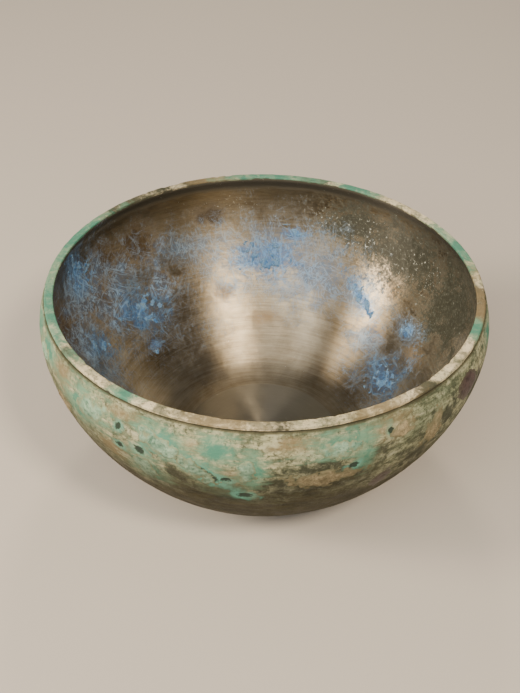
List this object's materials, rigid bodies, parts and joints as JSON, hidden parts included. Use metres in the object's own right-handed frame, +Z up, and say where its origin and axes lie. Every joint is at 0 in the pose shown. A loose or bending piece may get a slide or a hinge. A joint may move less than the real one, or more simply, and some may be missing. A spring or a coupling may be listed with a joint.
{
  "type": "bronze bowl",
  "caption": "Round-bellied antique bronze bowl on a flat base, with a thick beaded lip, a turned bright inside, a green crusted outside and blue mineral patches within.",
  "frame": {"origin": "centre of the flat base, on the surface that the bowl stands on", "axes": "+Z up along the bowl's axis through the mouth; the wall is round, and -Y is the side with the pitted green crust"},
  "size_m": [0.1798, 0.1803, 0.086],
  "materials": {
    "bronze": "turned and worn inside, patinated grey-green outside",
    "verdigris": "matt, crystalline",
    "soil": "matt, rough",
    "cuprite": "smooth, waxy",
    "azurite": "matt, powdery"
  },
  "bodies": {
    "root": {"bowl": "bronze", "verdigris_crust": "verdigris", "soil_crust": "soil", "cuprite_scabs": "cuprite", "azurite_crust": "azurite"}
  },
  "joints": []
}
